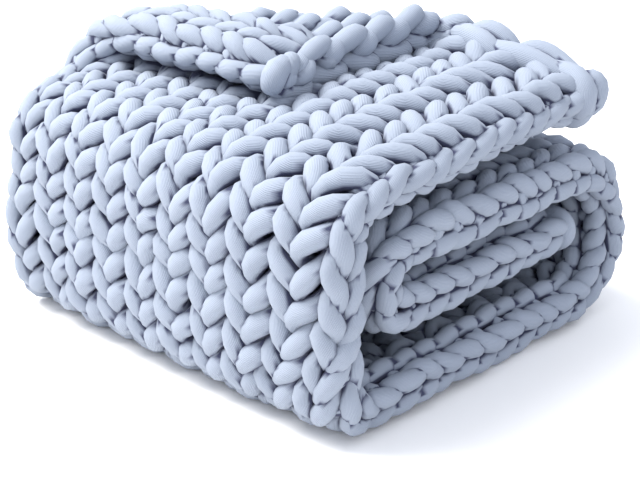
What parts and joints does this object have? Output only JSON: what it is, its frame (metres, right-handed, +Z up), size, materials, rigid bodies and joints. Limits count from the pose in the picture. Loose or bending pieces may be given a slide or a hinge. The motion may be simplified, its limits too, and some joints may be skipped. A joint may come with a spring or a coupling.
{
  "type": "chunky knit throw",
  "caption": "Folded throw blanket of thick stuffed yarn in plain stocking stitch, lying in a loose spiral with one corner turned back.",
  "frame": {"origin": "middle of the footprint, on the surface that the throw lies on", "axes": "+Z up; X runs along the folds, across the stitch columns, with the open layered side that the picture shows at +X; -Y is the tall folded front and +Y the round back bend"},
  "size_m": [0.4626, 0.438, 0.2938],
  "materials": {
    "jersey_yarn": "matte fine-ribbed jersey tube, softly stuffed, powder blue with a lavender tint"
  },
  "bodies": {
    "root": {"throw": "jersey_yarn"}
  },
  "joints": []
}
